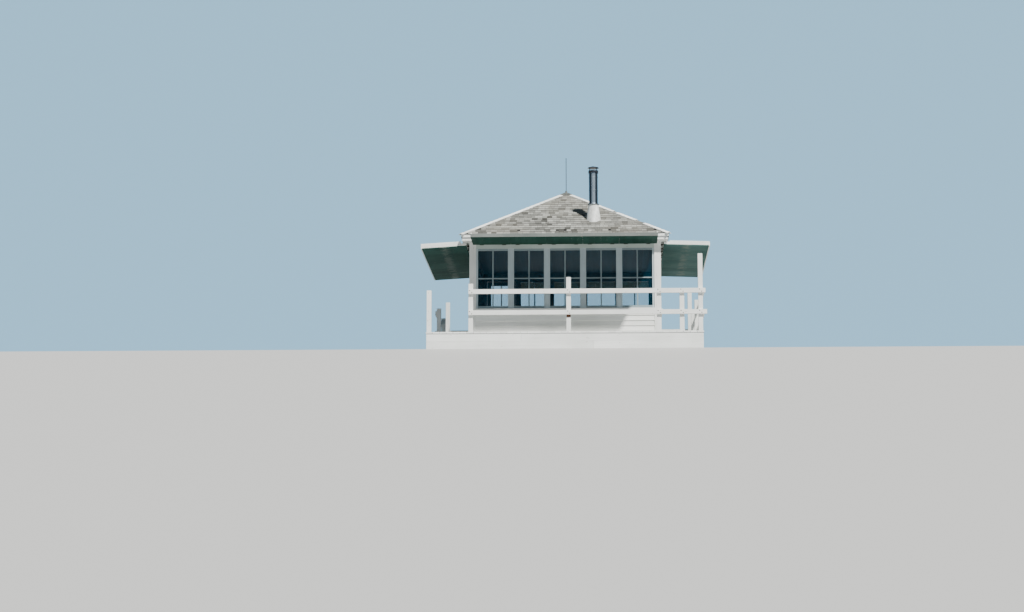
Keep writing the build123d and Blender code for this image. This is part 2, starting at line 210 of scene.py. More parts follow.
# %% helpers for nodes
def start_material(name):
    """A new material and its tree of nodes."""
    material = bpy.data.materials.new(name)
    material.use_nodes = True
    return material, material.node_tree


def set_inputs(tree, node, inputs):
    """Gives a node's inputs their values, or links them to other nodes' outputs."""
    for name, value in inputs.items():
        if isinstance(value, bpy.types.NodeSocket):
            tree.links.new(value, node.inputs[name])
        else:
            node.inputs[name].default_value = value
    return node.outputs


def add_node(tree, kind, inputs):
    """The outputs of a new node whose inputs are set."""
    return set_inputs(tree, tree.nodes.new(f"ShaderNode{kind}"), inputs)


def shade(material, inputs):
    """Sets inputs of the material's own shader, and gives the material back."""
    tree = material.node_tree
    set_inputs(tree, tree.nodes["Principled BSDF"], inputs)
    return material


# %% helpers for patterns
def noise(tree, waves, detail=4.0, roughness=0.55):
    """A noise pattern. waves is how many there are to the metre along X, Y and Z."""
    place = add_node(tree, "TexCoord", {})["Object"]
    waves = add_node(tree, "Mapping", {"Vector": place, "Scale": waves})["Vector"]
    inputs = {"Vector": waves, "Scale": 1.0, "Detail": detail, "Roughness": roughness}
    return add_node(tree, "TexNoise", inputs)["Fac"]


def grain_waves(axis, across, along):
    """Waves to the metre: one number along an axis, and another across it."""
    return tuple(along if name == axis else across for name in "XYZ")


def remap(tree, value, low, high, to_low=0.0, to_high=1.0):
    """Stretches a value's range, and stops it at both ends."""
    inputs = {"Value": value, "From Min": low, "From Max": high, "To Min": to_low, "To Max": to_high}
    return add_node(tree, "MapRange", inputs)["Result"]


def relief(tree, height, strength, distance):
    """A pattern turned into a small bump."""
    inputs = {"Height": height, "Strength": strength, "Distance": distance}
    return add_node(tree, "Bump", inputs)["Normal"]


# %% helpers for colours
def blend_colours(tree, factor, first, second):
    """Two colours mixed by a factor. Each colour is three numbers, or another node's output."""
    node = tree.nodes.new("ShaderNodeMix")
    node.data_type = "RGBA"
    first, second = [(*colour, 1.0) if isinstance(colour, tuple) else colour for colour in (first, second)]
    return set_inputs(tree, node, {0: factor, 6: first, 7: second})[2]


def scaled_colour(tree, colour, value):
    """A colour made lighter or darker by a value round 1."""
    node = tree.nodes.new("ShaderNodeVectorMath")
    node.operation = "SCALE"
    return set_inputs(tree, node, {0: colour, "Scale": value})["Vector"]


def board_tone(tree, to_low, to_high):
    """The mesh's tone, which goes from -1 to 1, stretched between two other numbers."""
    attribute = tree.nodes.new("ShaderNodeAttribute")
    attribute.attribute_name = "tone"
    return remap(tree, attribute.outputs["Fac"], -1.0, 1.0, to_low, to_high)


# %% [markdown]
# Some finishes change with the place: indoors the walls are painted a dark blue-green, as painted shade of
# the room, and the green goes towards a paler bare colour in a ragged band along the middle of a side
# shutter row. A few sums on the coordinates tell where a point is.

# %% helpers for places
def calculate(tree, operation, *values):
    """The result of a sum on one or two values, each a number or another node's output."""
    node = tree.nodes.new("ShaderNodeMath")
    node.operation = operation
    return set_inputs(tree, node, dict(enumerate(values)))[0]


def away_from(tree, axis, place):
    """How far a point is from a place along one axis, in metres."""
    parts = add_node(tree, "SeparateXYZ", {0: add_node(tree, "TexCoord", {})["Object"]})
    return calculate(tree, "ABSOLUTE", calculate(tree, "SUBTRACT", parts[axis], place))


def nearer_than(tree, half):
    """1 on whatever lies inside a square round the house's middle, and 0 outside it."""
    furthest = calculate(tree, "MAXIMUM", away_from(tree, "X", 0.0), away_from(tree, "Y", 0.0))
    return calculate(tree, "LESS_THAN", furthest, half)


print("indoors is within", round(room_half, 3))

# %% [markdown]
# Oil paint covers nearly every board, so one function makes every painted finish, with the grain along
# X, Y or Z. Bleached and dirty patches come from slow noise, and chips appear where a fast noise passes a
# level, longer along the grain than across it.

# %% painted timber
grey_wood = (0.34, 0.32, 0.29)
chip_level = 0.66
chip_rim = 0.02
band_core, band_reach = 0.02, 0.15
band_depth = 0.7


def ragged_band(tree, axis, place):
    """How far the colour goes towards the bare colour, in a ragged band along a line."""
    ragged = remap(tree, noise(tree, (5.0, 5.0, 5.0), 5.0, 0.65), 0.40, 0.60, 0.0, 0.16)
    band = remap(tree, away_from(tree, axis, place), band_core, band_reach, 1.0, 0.0)
    return remap(tree, calculate(tree, "MULTIPLY", ragged, band), 0.02, 0.12, 0.0, band_depth)


def painted_timber(name, axis, paint, faded, bare=grey_wood, chips=0.0, roughness=0.62, gloss=0.4,
                   inner=None, band_place=None):
    """Oil paint on planed boards. inner is another finish and how near to the middle it begins.
    band_place is where along the grain the colour goes towards the bare colour in a ragged band."""
    material, tree = start_material(name)
    patches = remap(tree, noise(tree, (1.3, 1.3, 1.3), 3.0), 0.35, 0.68)
    colour = blend_colours(tree, patches, paint, faded)
    streaks = noise(tree, grain_waves(axis, 26.0, 1.2), 5.0, 0.6)
    colour = scaled_colour(tree, colour, remap(tree, streaks, 0.3, 0.7, 0.93, 1.04))
    flakes = noise(tree, grain_waves(axis, 34.0, 7.0), 6.0, 0.7)
    level = chip_level - chips
    colour = blend_colours(tree, remap(tree, flakes, level, level + chip_rim), colour, bare)
    if inner:
        colour = blend_colours(tree, nearer_than(tree, inner[1]), colour, inner[0])
    if band_place:
        colour = blend_colours(tree, ragged_band(tree, axis, band_place), colour, bare)
    colour = scaled_colour(tree, colour, board_tone(tree, 0.90, 1.10))
    grain = relief(tree, noise(tree, grain_waves(axis, 140.0, 4.0), 3.0), 0.35, 0.0012)
    return shade(material, {"Roughness": roughness, "Specular IOR Level": gloss, "Base Color": colour,
                            "Normal": grain})


# %% white paints, and painted shade under the rows
white_paint, white_faded = (0.80, 0.82, 0.80), (0.70, 0.72, 0.69)
# Indoors the walls, posts and sashes turn a dark blue-green: painted shade of the room, and the blue that the
# panes show.
room_painted_shade = ((0.018, 0.066, 0.096), room_half)
roof_felt = ((0.014, 0.013, 0.012), roof_half - 0.003)
white_timber = {
    axis: painted_timber(f"white_painted_timber_{axis}", axis, white_paint, white_faded, inner=room_painted_shade)
    for axis in "XYZ"
}
# The header, window posts and stiles, sash rails and window bars are darker and greener than the white:
# painted shade under the shutter rows, with the green light that their undersides throw back.
header_shade_timber = painted_timber("header_painted_shade", "X", (0.50, 0.58, 0.55), (0.42, 0.50, 0.46), inner=room_painted_shade)
window_post_shade_timber = painted_timber("window_post_painted_shade", "Z", (0.50, 0.59, 0.62), (0.42, 0.50, 0.53),
                                    inner=room_painted_shade)
sash_shade_timber = {
    axis: painted_timber(f"sash_painted_shade_{axis}", axis, (0.26, 0.33, 0.35), (0.20, 0.26, 0.28), inner=room_painted_shade)
    for axis in "XZ"
}
roof_timber = painted_timber("roof_sheathing", "X", white_paint, white_faded, inner=roof_felt)
worn_white = painted_timber("worn_white_paint", "X", (0.18, 0.20, 0.19), (0.12, 0.14, 0.13), chips=0.04,
                            roughness=0.8)
worn_caps = painted_timber("worn_hip_caps", "Z", white_paint, (0.60, 0.62, 0.60), chips=0.06, roughness=0.75)

# %% green paints
row_middle = (abs(joints["right_shutter_row"]["pos_m"][0]) + cad_high.x) / 2
deep_green = ((0.007, 0.040, 0.029), (0.018, 0.066, 0.050), 0.01, None)
# The right row's paler green is partly faded paint and partly painted light: the bounce from the sunlit
# walkway on that side.
greens_with_painted_bounce = {
    "front": deep_green,
    "rear": deep_green,
    "left": ((0.010, 0.056, 0.044), (0.028, 0.092, 0.074), 0.03, -row_middle),
    "right": ((0.026, 0.086, 0.076), (0.062, 0.130, 0.120), 0.03, row_middle),
}
green_timber = {}
for side, (paint, faded, chips, band_place) in greens_with_painted_bounce.items():
    green_timber[side] = painted_timber(f"{side}_green_paint", out_axis[side], paint, faded,
                                        (0.14, 0.18, 0.16), chips, 0.75, 0.12, band_place=band_place)
print("side rows are worn at", round(row_middle, 3))

# %% bare timber
def bare_timber(name, axis, dark, light, gain, roughness=0.85):
    """Timber with no paint. gain is how much the boards differ."""
    material, tree = start_material(name)
    streaks = noise(tree, grain_waves(axis, 45.0, 1.6), 6.0, 0.65)
    colour = blend_colours(tree, remap(tree, streaks, 0.32, 0.68), dark, light)
    colour = scaled_colour(tree, colour, board_tone(tree, 1.0 - gain, 1.0 + gain))
    grain = relief(tree, noise(tree, grain_waves(axis, 110.0, 3.0), 4.0), 0.6, 0.002)
    return shade(material, {"Roughness": roughness, "Base Color": colour, "Normal": grain})


sawn_timber = {
    axis: bare_timber(f"sawn_timber_{axis}", axis, (0.22, 0.16, 0.10), (0.40, 0.31, 0.21), 0.15)
    for axis in "XY"
}
deck_timber = bare_timber("deck_timber", "Y", (0.36, 0.35, 0.33), (0.58, 0.57, 0.54), 0.20)
floor_timber = bare_timber("floor_timber", "Y", (0.16, 0.11, 0.06), (0.26, 0.18, 0.10), 0.15, 0.6)
# The ceiling's dark blue-green is painted shade of the room, as seen through the panes.
ceiling_shade_timber = bare_timber("ceiling_shade_timber", "X", (0.012, 0.070, 0.110), (0.022, 0.100, 0.150), 0.15, 0.6)

# %% [markdown]
# Cedar shingles weather to silver, each at its own pace. The mesh gives every shingle a tone from dark
# to pale, and the finish adds fine splits that run down the slope, so the front and rear slopes need one
# version and the side ones another. The butts, the faces that look down the slope, are darker: partly
# darker end grain, and partly painted shade along each course.

# %% weathered shingles
def shingle_finish(name, across_axis, dark, pale):
    """Silvered wood, with splits down the slope."""
    material, tree = start_material(name)
    splits = noise(tree, grain_waves(across_axis, 3.0, 70.0), 6.0, 0.7)
    colour = blend_colours(tree, board_tone(tree, 0.0, 1.0), dark, pale)
    colour = scaled_colour(tree, colour, remap(tree, splits, 0.3, 0.7, 0.72, 1.18))
    patches = remap(tree, noise(tree, (0.9, 0.9, 0.9), 4.0), 0.42, 0.66, 0.0, 0.35)
    colour = blend_colours(tree, patches, colour, (0.19, 0.175, 0.14))
    return shade(material, {"Roughness": 0.9, "Base Color": colour,
                            "Normal": relief(tree, splits, 0.8, 0.004)})


shingle_finishes = {
    axis: [shingle_finish(f"shingles_{slopes}", axis, (0.046, 0.046, 0.040), (0.310, 0.316, 0.290)),
           shingle_finish(f"shingle_butts_grain_and_shade_{slopes}", axis, (0.020, 0.018, 0.016), (0.095, 0.088, 0.076))]
    for axis, slopes in (("X", "front_and_rear"), ("Y", "sides"))
}
print("materials so far:", len(bpy.data.materials))

# %% [markdown]
# The flue is zinc-coated sheet that has dulled in patches. Its blue tint is partly painted sky reflection,
# and the dark bands down its left and right sides are painted reflection. The small ironwork is painted dark
# or has rusted. The panes are plain window glass: almost clear, with sharp reflections, and a blue film that
# is partly painted sky reflection, which a slow noise makes uneven like old sheets.

# %% metals and glass
# The flue's painted dark reflection grows from a quarter of its radius off the middle, along X.
side_reflection_start, side_reflection_full = 0.24 * flue_radius, 0.56 * flue_radius


def sheet_metal(name, bright, dull, roughness, metallic, dents=(30.0, 30.0, 30.0), dent_depth=0.001,
                dent_strength=0.3, painted_side_reflection=None):
    """Coated sheet in bright and dull patches, with dents, and perhaps a painted dark reflection down the
    flue's left and right sides.
    """
    material, tree = start_material(name)
    patches = noise(tree, (9.0, 9.0, 5.0), 6.0, 0.65)
    colour = blend_colours(tree, remap(tree, patches, 0.35, 0.65), bright, dull)
    if painted_side_reflection:
        sides = remap(tree, away_from(tree, "X", flue_x), side_reflection_start, side_reflection_full)
        colour = blend_colours(tree, sides, colour, painted_side_reflection)
    dented = relief(tree, noise(tree, dents, 3.0), dent_strength, dent_depth)
    return shade(material, {"Roughness": remap(tree, patches, 0.3, 0.7, *roughness),
                            "Metallic": metallic, "Base Color": colour, "Normal": dented})


# The flue's blue tint is partly painted sky reflection, and its stain is painted reflection.
flue_metal = sheet_metal("flue_metal", (0.54, 0.62, 0.70), (0.38, 0.46, 0.54), (0.24, 0.38), 0.85,
                         dent_strength=0.15, painted_side_reflection=(0.046, 0.062, 0.080))
cowl_metal = sheet_metal("cowl_metal", (0.010, 0.016, 0.030), (0.020, 0.022, 0.028), (0.30, 0.50), 0.3)
rusty_iron = sheet_metal("rusty_iron", (0.085, 0.035, 0.018), (0.16, 0.065, 0.030), (0.75, 0.9), 0.2)
dark_iron = sheet_metal("dark_iron", (0.050, 0.050, 0.052), (0.10, 0.075, 0.055), (0.45, 0.70), 0.7)
cap_metal = sheet_metal("cap_metal", (0.10, 0.11, 0.10), (0.060, 0.065, 0.060), (0.55, 0.75), 0.1)
white_metal = sheet_metal("white_painted_metal", (0.78, 0.80, 0.79), (0.42, 0.43, 0.42), (0.45, 0.65), 0.0,
                          dents=(6.0, 6.0, 9.0), dent_depth=0.012)
glass, glass_tree = start_material("window_glass")
# The film is the glass's blue tint and, in part, painted sky reflection.
blue_film_and_reflection = remap(glass_tree, noise(glass_tree, (1.5, 1.5, 1.5), 3.0), 0.3, 0.7)
blue_film_and_reflection = blend_colours(glass_tree, blue_film_and_reflection, (0.006, 0.055, 0.100), (0.010, 0.070, 0.115))
shade(glass, {"Roughness": 0.03, "Alpha": 0.12, "IOR": 1.52, "Base Color": blue_film_and_reflection})
print("materials so far:", len(bpy.data.materials))

# %% [markdown]
# CAD nodes whose shape is right stay in view and only take a finish. Their meshes are loose triangles, so
# a weld comes first, and then a fine bevel, which catches the light along every edge as real paint does.

# %% finish the CAD nodes that stay
weld_distance = 0.00001


def dress(node, material, edge):
    """Gives a CAD node its finish and, if edge isn't zero, soft edges."""
    part = nodes[node]
    part.data.materials.clear()
    part.data.materials.append(material)
    if edge:
        weld = part.modifiers.new("weld", "WELD")
        weld.merge_threshold = weld_distance
        bevel = part.modifiers.new("bevel", "BEVEL")
        bevel.limit_method = "ANGLE"
        bevel.angle_limit = math.radians(40.0)
        bevel.width = edge
        bevel.segments = 2


finishes = (
    (white_timber["Z"], timber_edge, ("corner_posts", "railing_posts", "door_frame", "door")),
    (white_timber["X"], timber_edge, ("window_sills", "fascia", "soffit", "top_rails", "mid_rails")),
    # The darker paints of the posts, stiles, sash rails and header are painted shade.
    (window_post_shade_timber, timber_edge, ("window_posts", "window_stiles")),
    (sash_shade_timber["X"], timber_edge, ("window_rails",)),
    (header_shade_timber, timber_edge, ("headers",)),
    (sawn_timber["Y"], timber_edge, ("ground_beams",)),
    (sawn_timber["X"], timber_edge, ("joists", "wall_plates")),
    (cap_metal, timber_edge, ("roof_cap",)),
    (dark_iron, metal_edge, ("shutter_hinges",)),
    (cowl_metal, metal_edge, ("flue_cowl",)),
    (dark_iron, 0, ("roof_rod", "door_knob")),
    (flue_metal, 0, ("flue_pipe",)),
    (white_metal, 0, ("flue_flashing",)),
    (glass, 0, ("window_glass",)),
    (roof_timber, 0, [f"{side}_roof" for side in side_turn]),
)
for material, edge, names in finishes:
    for node in names:
        dress(node, material, edge)
print("CAD nodes dressed:", sum(len(names) for material, edge, names in finishes))

# %% [markdown]
# The walls below the windows are boarded. Outside, each siding board leans out at its foot to throw rain
# clear of the board below, so its face is a slope and its foot casts a thin shadow line. Inside, the
# lining boards are flat.

# %% siding and lining
siding_boards = 5
siding_inset = 0.006
siding_lean = 0.012
siding_depth = 0.030
lining_boards = 4
lining_thickness = 0.016


def boarded_wall(side):
    """One low wall: siding, core and lining."""
    bm = new_mesh()
    low, high = front_box(f"{side}_wall", side)
    face = low.y + siding_inset
    step = (high.z - low.z) / siding_boards
    for course in range(siding_boards):
        foot = low.z + course * step
        board = add_toned_board(bm, (low.x, face, foot), (high.x, face + siding_depth, foot + step))
        for vert in board:
            if vert.co.z > foot + step / 2 and vert.co.y < face + siding_depth / 2:
                vert.co.y += siding_lean
    step = (high.z - low.z) / lining_boards
    for course in range(lining_boards):
        foot = low.z + course * step
        add_toned_board(bm, (low.x, high.y - lining_thickness, foot + joint_play),
                        (high.x, high.y, foot + step - joint_play))
    soften(bm, 0.0025)
    add_board(bm, (low.x, face + siding_depth, low.z), (high.x, high.y - lining_thickness, high.z))
    turn_to(bm, side)
    finish_piece(f"{side}_siding", bm, [white_timber[wall_axis[side]]],
                 [f"{side}_wall"])


for side in side_turn:
    boarded_wall(side)

# %% [markdown]
# The base is closed by two wide skirt boards on each side, butted in their length and at the corners.
# The front and rear boards run past the ends of the side ones, as a carpenter would lap them.

# %% skirt boards
skirt_thickness = 0.025
skirt_joint = 0.0015
skirt_joints = (0.62, -0.95)


def skirt_side(bm, side):
    """The boards of one side, butted once in their length."""
    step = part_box("skirt")[1].z / len(skirt_joints)
    reach = skirt_half if wall_axis[side] == "X" else skirt_half - skirt_thickness
    for course, joint in enumerate(skirt_joints):
        for start, end in ((-reach, joint - skirt_joint), (joint + skirt_joint, reach)):
            add_toned_board(bm, (start, -skirt_half, course * step),
                            (end, -skirt_half + skirt_thickness, (course + 1) * step))
    soften(bm)


finish_piece("skirt_boards", all_round(skirt_side), [white_timber["X"]], ["skirt"])

# %% [markdown]
# The joists run across the house, so every walkway board runs from front to rear. Beside the cab a board
# is as long as the house and is butted over a joist; before and behind the cab it is short. The ends that
# show from outside are painted with the skirt. The floor and the ceiling of the room are boarded too.

# %% helpers for floors
butt_gap = 0.001
rim_tolerance = 0.004


def lay_strip(bm, across, count, along, heights, gap, joints_y=()):
    """Boards side by side between two places along X, each butted at one of the joints given."""
    pitch = (across[1] - across[0]) / count
    for index in range(count):
        x = across[0] + index * pitch
        cuts = [along[0], *([joints_y[index % len(joints_y)]] if joints_y else []), along[1]]
        for first, last in zip(cuts, cuts[1:]):
            add_toned_board(bm, (x + gap / 2, first + butt_gap, heights[0]),
                            (x + pitch - gap / 2, last - butt_gap, heights[1]))


def paint_rim(bm, half):
    """Gives the second material to the outer ends and edges of a floor."""
    bm.normal_update()
    for face in bm.faces:
        middle = face.calc_center_median()
        if abs(face.normal.z) < 0.9 and max(abs(middle.x), abs(middle.y)) > half - rim_tolerance:
            face.material_index = 1


# %% walkway boards
deck_board_gap = 0.005
side_boards = 6
middle_boards = 29
side_joints = (-0.99, 0.98, -0.02)
wall_clearance = 0.002
walk_inner = cab_half + wall_clearance
walk_strips = ((-deck_half, -walk_inner), (walk_inner, deck_half))
deck_mesh = new_mesh()
for strip in walk_strips:
    lay_strip(deck_mesh, strip, side_boards, (-deck_half, deck_half), deck_heights, deck_board_gap,
              side_joints)
for strip in walk_strips:
    lay_strip(deck_mesh, (-walk_inner, walk_inner), middle_boards, strip, deck_heights, deck_board_gap)
soften(deck_mesh)
paint_rim(deck_mesh, deck_half)
finish_piece("walkway_boards", deck_mesh, [deck_timber, white_timber["X"]], ["walkway_deck"])

# %% room floor and ceiling
room_boards = 36
room_gap = 0.001
cab_width = (-cab_half, cab_half)
floor_mesh = new_mesh()
lay_strip(floor_mesh, cab_width, room_boards, cab_width, (deck_heights[0], floor_top), room_gap)
soften(floor_mesh, 0.002)
paint_rim(floor_mesh, cab_half)
finish_piece("floor_boards", floor_mesh, [floor_timber, white_timber["X"]], ["cab_floor"])
ceiling_heights = [corner.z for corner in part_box("ceiling")]
ceiling_mesh = new_mesh()
lay_strip(ceiling_mesh, cab_width, room_boards, cab_width, ceiling_heights, room_gap)
soften(ceiling_mesh, 0.004)
finish_piece("ceiling_boarding", ceiling_mesh, [ceiling_shade_timber], ["ceiling"])

# %% [markdown]
# Each sash holds four panes between a middle bar and a cross bar. The bars are moulded narrow towards
# the outside, so a bevel as wide as a putty line stands in for the moulding.

# %% window bars
upright_bar = 0.030
cross_bar = 0.026
bar_inset = 0.005
cross_bar_inset = 0.001
bar_moulding = 0.006
sash_face = -cab_half + sash_setback


def glazing_bars(bm, x, half, low_z, high_z, thickness):
    """The upright bar and the cross bar of a light, in a sash or a door of this thickness."""
    front, back = sash_face + bar_inset, sash_face + thickness - bar_inset
    middle = (low_z + high_z) / 2
    add_board(bm, (x - upright_bar / 2, front, low_z), (x + upright_bar / 2, back, high_z))
    add_board(bm, (x - half, front + cross_bar_inset, middle - cross_bar / 2),
              (x + half, back - cross_bar_inset, middle + cross_bar / 2))


def window_bars(bm, side):
    """The bars of one side's windows."""
    for x in window_centres[side]:
        glazing_bars(bm, x, glass_half, glass_low, glass_high, sash_thickness)
    soften(bm, bar_moulding)


# The bars take the dark sash paint, which is painted shade.
finish_piece("window_bars", all_round(window_bars), [sash_shade_timber["Z"]])

# %% [markdown]
# A shingle roof is laid in courses from the eave up. Here each shingle is a wedge, thick at its butt and
# thin where the next course covers it, with its own width, tone and a little play in its place. The front
# slope has a pale course, and a course below it has lost a few narrow shingles.

# %% one shingle
course_exposure = 0.127
course_cover = 0.035
shingle_butt = 0.012
shingle_tip = 0.0015
shingle_gap = 0.004
pale_course = 3


def shingle_tone(side, course):
    """How weathered a shingle is, from -1 for dark to 1 for pale."""
    tone = draw.gauss(0.0, 0.50)
    if side == "front" and course == pale_course:
        tone += 0.75
    if side == "front" and course < pale_course:
        tone -= 0.20
    return max(-1.0, min(1.0, tone))


def lay_shingle(bm, x, width, start, tone):
    """One wedge, before the slope is tilted: X runs across, Y up the slope and Z off the roof."""
    end = start + course_exposure + course_cover
    butt = shingle_butt + draw.uniform(-0.002, 0.002)
    wedge = add_board(bm, (x, start, 0.0), (x + width - shingle_gap, end, butt), tone)
    for vert in wedge:
        if vert.co.z > butt / 2 and vert.co.y > (start + end) / 2:
            vert.co.z = shingle_tip


# %% [markdown]
# One slope is laid too wide and then cut along both hips with bisect_plane, and the cut ends are closed
# again. The flue goes through the front slope, so four cuts square with the house free a hole round it.

# %% cuts in a slope
flue_hole_margin = 0.004
slope_length = roof_half / math.cos(roof_pitch)
slope_tilt = Matrix.Translation((0, -roof_half, eave_top)) @ Matrix.Rotation(roof_pitch, 4, "X")


def cut_along_hips(bm):
    """Cuts away what runs past the two hips, and closes each cut shingle."""
    for lean in (1.0, -1.0):
        parts = bmesh.ops.bisect_plane(bm, geom=bm.verts[:] + bm.edges[:] + bm.faces[:], plane_co=(0, 0, 0),
                                       plane_no=(lean, 1.0, 0.0), clear_outer=True)
        cut = [item for item in parts["geom_cut"] if isinstance(item, bmesh.types.BMEdge)]
        bmesh.ops.holes_fill(bm, edges=cut, sides=0)


def leave_flue_hole(bm):
    """Trims the shingles to a square hole round the flue, which the flashing hides."""
    half = flue_radius + flue_hole_margin
    middle = Vector((flue_x, flue_y, 0.0))
    for x, y in ((1, 0), (-1, 0), (0, 1), (0, -1)):
        out = Vector((x, y, 0))
        near = [face for face in bm.faces if (face.calc_center_median() - middle).xy.length < 4 * half]
        edges = list({edge for face in near for edge in face.edges})
        verts = list({vert for face in near for vert in face.verts})
        bmesh.ops.bisect_plane(bm, geom=verts + edges + near, plane_co=middle + out * half, plane_no=out)
    inside = []
    for face in bm.faces:
        away = face.calc_center_median() - middle
        if max(abs(away.x), abs(away.y)) < half:
            inside.append(face)
    bmesh.ops.delete(bm, geom=inside, context="FACES")
    rims = [edge for edge in bm.edges if edge.is_boundary]
    bmesh.ops.holes_fill(bm, edges=rims, sides=0)


print("slope length", round(slope_length, 3))

# %% the four slopes
eave_overhang = 0.012
damaged_course = 1
lost_width = 0.060
lost_places = (-1.20, -0.23, -0.06, 0.89, 1.84)


def shingle_slope(side):
    """All the shingles of one slope."""
    bm = new_mesh()
    courses = int(slope_length / course_exposure) + 1
    for course in range(courses):
        start = course * course_exposure - eave_overhang
        half = roof_half * (1.0 - max(start, 0.0) / slope_length) + 0.15
        x = -half - draw.uniform(0.0, 0.1)
        lost = list(lost_places) if side == "front" and course == damaged_course else []
        while x < half:
            if lost and x > lost[0]:
                x += lost_width
                lost.pop(0)
            width = draw.uniform(0.075, 0.175)
            lay_shingle(bm, x, width, start + draw.uniform(-0.004, 0.004), shingle_tone(side, course))
            x += width
    bm.normal_update()
    for face in bm.faces:
        # Faces that look down the slope take the darker butt finish: end grain and painted shade.
        face.material_index = 1 if face.normal.y < -0.5 else 0
    bmesh.ops.transform(bm, matrix=slope_tilt, verts=bm.verts)
    cut_along_hips(bm)
    if side == "front":
        leave_flue_hole(bm)
    turn_to(bm, side)
    finish_piece(f"{side}_shingles", bm, shingle_finishes[wall_axis[side]])


for side in side_turn:
    shingle_slope(side)

# %% [markdown]
# The hips are covered by short cap shingles, laid in pairs from the eave up, and painted white. Each slope
# lays its own half of the pairs flat, and the vertical plane through the hip cuts them to a mitre. A few on
# the front's right hip have gone, and the worn ones have little paint left.

# %% hip cap shingles
cap_exposure = 0.155
cap_length = 0.200
cap_width = 0.066
cap_past_hip = 0.02
cap_past_eave = 0.02
cap_lift = 0.010
cap_butt = 0.011
lost_pairs = (5, 6, 11)
damaged_hip = (("front", 1), ("right", -1))
hip_run = math.hypot(roof_half, slope_length)
top_cap_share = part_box("roof_cap")[1].x / roof_half


def hip_caps(bm, side, hand):
    """The half pairs of one slope along one of its hips. hand is 1 for the hip on the right."""
    angle = math.atan2(slope_length, -hand * roof_half)
    place = Matrix.Translation((hand * roof_half, 0, 0)) @ Matrix.Rotation(angle, 4, "Z")
    for index in range(int((1.0 - top_cap_share) * hip_run / cap_exposure) + 1):
        start = index * cap_exposure - cap_past_eave
        tone = max(-1.0, min(1.0, draw.gauss(0.0, 0.5)))
        width = cap_width + draw.uniform(-0.004, 0.004)
        if (side, hand) in damaged_hip and index in lost_pairs:
            continue
        near, far = (-cap_past_hip, width) if hand > 0 else (-width, cap_past_hip)
        end = min(start + cap_length, (1.0 - 0.9 * top_cap_share) * hip_run)
        cap = add_board(bm, (start, near, cap_lift), (end, far, cap_lift + cap_butt), tone)
        for vert in cap:
            if vert.co.x > (start + end) / 2:
                vert.co.z -= cap_butt * 0.6
        bmesh.ops.transform(bm, matrix=place, verts=cap)


for side in side_turn:
    caps = new_mesh()
    for hand in (1, -1):
        hip_caps(caps, side, hand)
    soften(caps, 0.0015)
    bmesh.ops.transform(caps, matrix=slope_tilt, verts=caps.verts)
    cut_along_hips(caps)
    turn_to(caps, side)
    finish_piece(f"{side}_hip_caps", caps, [worn_caps], ["hip_caps"])

# %% [markdown]
# A shutter is boards on a frame of ledges, with two cleats under its hinge straps. All the shutters of a
# side are tied by one long board at their outer edge, so they move as one row. A row is built level about
# its hinge line, which is at the origin here, with its outer edge towards -Y.

# %% one shutter
shutter_top = 0.0375
shutter_reach = 1.050
edge_board = 0.022
shutter_board = 0.022
ledge_width = 0.060
usual_board = 0.130
hinge_spread = 0.500
ledge_foot = -shutter_top + shutter_board
shutter_outer = -shutter_reach + edge_board
shutter_inner = -0.025
shutter_middle = (shutter_outer + shutter_inner) / 2


def shutter_boards(bm, start, end):
    """The boards that close one shutter, with a groove at each joint."""
    count = round((end - start) / usual_board)
    width = (end - start) / count
    for index in range(count):
        add_toned_board(bm, (start + index * width + joint_play, shutter_outer, -shutter_top),
                        (start + (index + 1) * width - joint_play, shutter_inner, ledge_foot))


def add_ledge(bm, start, end, outer, inner):
    """One ledge or cleat on top of the boards."""
    add_toned_board(bm, (start, outer, ledge_foot), (end, inner, shutter_top))


def shutter_ledges(bm, start, end):
    """The frame of ledges of one shutter."""
    for x in (start, end - ledge_width):
        add_ledge(bm, x, x + ledge_width, shutter_outer, shutter_inner)
    for y in (shutter_outer, shutter_middle - ledge_width / 2, shutter_inner - ledge_width):
        add_ledge(bm, start + ledge_width, end - ledge_width, y, y + ledge_width)


def strap_cleats(bm, x):
    """Short blocks that carry the two hinge straps of a shutter across its pocket."""
    outer = shutter_middle + ledge_width / 2
    for place in (x - hinge_spread / 2, x + hinge_spread / 2):
        add_ledge(bm, place - ledge_width / 2, place + ledge_width / 2, outer, shutter_inner - ledge_width)


# %% [markdown]
# A row hangs at the droop that its joint's range leaves short of a right angle. The face that looks down is
# green. Whatever faces the gap between two shutters is green too, as painted shade in the gaps. The rest is
# white, but the front row's edge board has lost most of its paint.

# %% helpers for a row
shutter_gap = 0.004
droops = {side: 90.0 - joints[f"{side}_shutter_row"]["range_deg"][1] for side in side_turn}


def shutter_spans(side):
    """Where each shutter starts and ends along the wall. The end ones reach as far as the CAD row does."""
    half = (bay_width - shutter_gap) / 2
    spans = [[x - half, x + half] for x in window_centres[side]]
    low, high = front_box(f"{side}_shutters", side)
    spans[0][0], spans[-1][1] = low.x, high.x
    return spans


def paint_gap_shade(bm, spans):
    """Gives the second material, the green, to what faces the gaps between two shutters, as painted shade."""
    bm.normal_update()
    for face in bm.faces:
        x = face.calc_center_median().x
        between = spans[0][0] + 0.01 < x < spans[-1][1] - 0.01
        beside_gap = any(abs(x - edge) < shutter_gap for span in spans for edge in span)
        face.material_index = 1 if between and beside_gap and face.normal.z < 0.9 else 0


def hang(bm, side):
    """Moves a level row to its hinge line, droops it and turns it to its side."""
    place = Vector(joints[f"{side}_shutter_row"]["pos_m"])
    out = math.hypot(place.x, place.y)
    matrix = Matrix.Translation((0, -out, place.z)) @ Matrix.Rotation(math.radians(droops[side]), 4, "X")
    bmesh.ops.transform(bm, matrix=matrix, verts=bm.verts)
    turn_to(bm, side)


